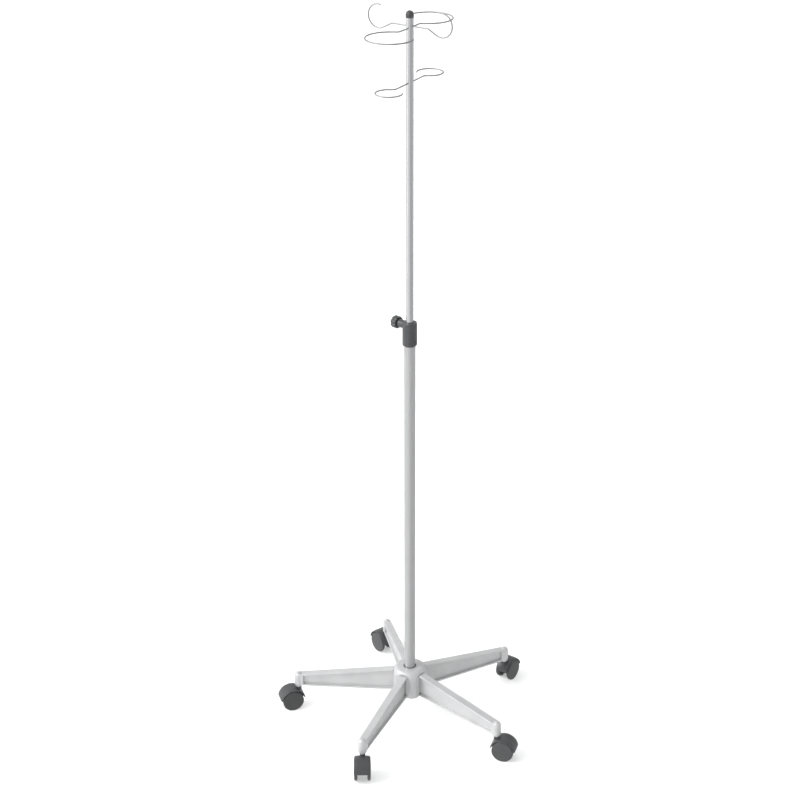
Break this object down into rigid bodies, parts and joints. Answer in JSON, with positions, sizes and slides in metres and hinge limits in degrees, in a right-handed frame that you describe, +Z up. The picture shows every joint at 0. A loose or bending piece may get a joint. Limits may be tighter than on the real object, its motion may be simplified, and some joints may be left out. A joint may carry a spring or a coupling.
{
  "type": "mobile infusion stand",
  "caption": "Mobile infusion stand with a star base on twin-wheel casters, a telescopic pole, a height clamp with a star knob, bag hooks and open bottle rings.",
  "frame": {"origin": "on the floor, on the pole's axis", "axes": "+Z up along the pole, leg 1 along -Y"},
  "size_m": [0.5975, 0.5774, 1.6775],
  "materials": {
    "base_casting": "satin",
    "tube_paint": "satin",
    "mast_steel": "satin",
    "hook_steel": "satin",
    "zinc_steel": "satin",
    "dark_plastic": "satin",
    "cap_plastic": "satin",
    "caster_plastic": "satin",
    "wheel_plastic": "matte",
    "white_nylon": "matte",
    "brass_insert": "satin"
  },
  "bodies": {
    "base": {"base_hub": "base_casting", "leg_1": "base_casting", "leg_2": "base_casting", "leg_3": "base_casting", "leg_4": "base_casting", "leg_5": "base_casting", "leg_retaining_plate": "zinc_steel", "leg_plate_screws": "zinc_steel", "centre_washer": "zinc_steel", "centre_bolt": "zinc_steel", "tube_base_plug": "zinc_steel", "lower_tube": "tube_paint", "caster_sockets": "white_nylon", "stem_snap_rings": "zinc_steel", "guide_bush": "white_nylon", "clamp_body": "dark_plastic", "clamp_insert": "brass_insert", "clamp_set_screw": "zinc_steel", "caster_1_stem": "zinc_steel", "caster_2_stem": "zinc_steel", "caster_3_stem": "zinc_steel", "caster_4_stem": "zinc_steel", "caster_5_stem": "zinc_steel"},
    "mast_slider": {"mast_guide_plug": "white_nylon"},
    "mast": {"upper_tube": "mast_steel", "end_cap": "cap_plastic", "bag_hook_wire": "hook_steel", "bottle_ring_wire": "hook_steel", "neck_ring_wire": "hook_steel"},
    "clamp_pad": {"clamp_pad": "white_nylon"},
    "knob": {"knob_grip": "dark_plastic", "knob_spindle": "zinc_steel"},
    "caster_1": {"caster_1_housing": "caster_plastic", "caster_1_axle": "zinc_steel"},
    "caster_1_left": {"caster_1_wheel_left": "wheel_plastic"},
    "caster_1_right": {"caster_1_wheel_right": "wheel_plastic"},
    "caster_2": {"caster_2_housing": "caster_plastic", "caster_2_axle": "zinc_steel"},
    "caster_2_left": {"caster_2_wheel_left": "wheel_plastic"},
    "caster_2_right": {"caster_2_wheel_right": "wheel_plastic"},
    "caster_3": {"caster_3_housing": "caster_plastic", "caster_3_axle": "zinc_steel"},
    "caster_3_left": {"caster_3_wheel_left": "wheel_plastic"},
    "caster_3_right": {"caster_3_wheel_right": "wheel_plastic"},
    "caster_4": {"caster_4_housing": "caster_plastic", "caster_4_axle": "zinc_steel"},
    "caster_4_left": {"caster_4_wheel_left": "wheel_plastic"},
    "caster_4_right": {"caster_4_wheel_right": "wheel_plastic"},
    "caster_5": {"caster_5_housing": "caster_plastic", "caster_5_axle": "zinc_steel"},
    "caster_5_left": {"caster_5_wheel_left": "wheel_plastic"},
    "caster_5_right": {"caster_5_wheel_right": "wheel_plastic"}
  },
  "joints": [
    {"name": "mast_height", "type": "slide", "parent": "base", "child": "mast_slider", "axis": [0, 0, 1], "range_m": [-0.365, 0.33]},
    {"name": "mast_turn", "type": "hinge", "parent": "mast_slider", "child": "mast", "pos_m": [0, 0, 0.508], "axis": [0, 0, 1], "continuous": true},
    {"name": "pad_travel", "type": "slide", "parent": "base", "child": "clamp_pad", "axis": [-0.9511, 0.309, 0], "range_m": [0, 0.00125]},
    {"name": "knob_turn", "type": "hinge", "parent": "clamp_pad", "child": "knob", "pos_m": [-0.03329, 0.01082, 0.9875], "axis": [-0.9511, 0.309, 0], "range_deg": [0, 360]},
    {"name": "caster_1_swivel", "type": "hinge", "parent": "base", "child": "caster_1", "pos_m": [0, -0.263, 0.05], "axis": [0, 0, 1], "continuous": true},
    {"name": "caster_1_roll_left", "type": "hinge", "parent": "caster_1", "child": "caster_1_left", "pos_m": [0.00732, -0.27944, 0.025], "axis": [0.9135, 0.4067, 0], "continuous": true},
    {"name": "caster_1_roll_right", "type": "hinge", "parent": "caster_1", "child": "caster_1_right", "pos_m": [0.00732, -0.27944, 0.025], "axis": [0.9135, 0.4067, 0], "continuous": true},
    {"name": "caster_2_swivel", "type": "hinge", "parent": "base", "child": "caster_2", "pos_m": [0.25013, -0.08127, 0.05], "axis": [0, 0, 1], "continuous": true},
    {"name": "caster_2_roll_left", "type": "hinge", "parent": "caster_2", "child": "caster_2_left", "pos_m": [0.26803, -0.07939, 0.025], "axis": [-0.1045, 0.9945, 0], "continuous": true},
    {"name": "caster_2_roll_right", "type": "hinge", "parent": "caster_2", "child": "caster_2_right", "pos_m": [0.26803, -0.07939, 0.025], "axis": [-0.1045, 0.9945, 0], "continuous": true},
    {"name": "caster_3_swivel", "type": "hinge", "parent": "base", "child": "caster_3", "pos_m": [0.15459, 0.21277, 0.05], "axis": [0, 0, 1], "continuous": true},
    {"name": "caster_3_roll_left", "type": "hinge", "parent": "caster_3", "child": "caster_3_left", "pos_m": [0.15833, 0.23038, 0.025], "axis": [-0.9781, 0.2079, 0], "continuous": true},
    {"name": "caster_3_roll_right", "type": "hinge", "parent": "caster_3", "child": "caster_3_right", "pos_m": [0.15833, 0.23038, 0.025], "axis": [-0.9781, 0.2079, 0], "continuous": true},
    {"name": "caster_4_swivel", "type": "hinge", "parent": "base", "child": "caster_4", "pos_m": [-0.15459, 0.21277, 0.05], "axis": [0, 0, 1], "continuous": true},
    {"name": "caster_4_roll_left", "type": "hinge", "parent": "caster_4", "child": "caster_4_left", "pos_m": [-0.17018, 0.22177, 0.025], "axis": [-0.5, -0.866, 0], "continuous": true},
    {"name": "caster_4_roll_right", "type": "hinge", "parent": "caster_4", "child": "caster_4_right", "pos_m": [-0.17018, 0.22177, 0.025], "axis": [-0.5, -0.866, 0], "continuous": true},
    {"name": "caster_5_swivel", "type": "hinge", "parent": "base", "child": "caster_5", "pos_m": [-0.25013, -0.08127, 0.05], "axis": [0, 0, 1], "continuous": true},
    {"name": "caster_5_roll_left", "type": "hinge", "parent": "caster_5", "child": "caster_5_left", "pos_m": [-0.2635, -0.09332, 0.025], "axis": [0.6691, -0.7431, 0], "continuous": true},
    {"name": "caster_5_roll_right", "type": "hinge", "parent": "caster_5", "child": "caster_5_right", "pos_m": [-0.2635, -0.09332, 0.025], "axis": [0.6691, -0.7431, 0], "continuous": true}
  ],
  "couplings": [
    {"joint": "pad_travel", "follows": "knob_turn", "m_per_rad": 0.00019894}
  ]
}
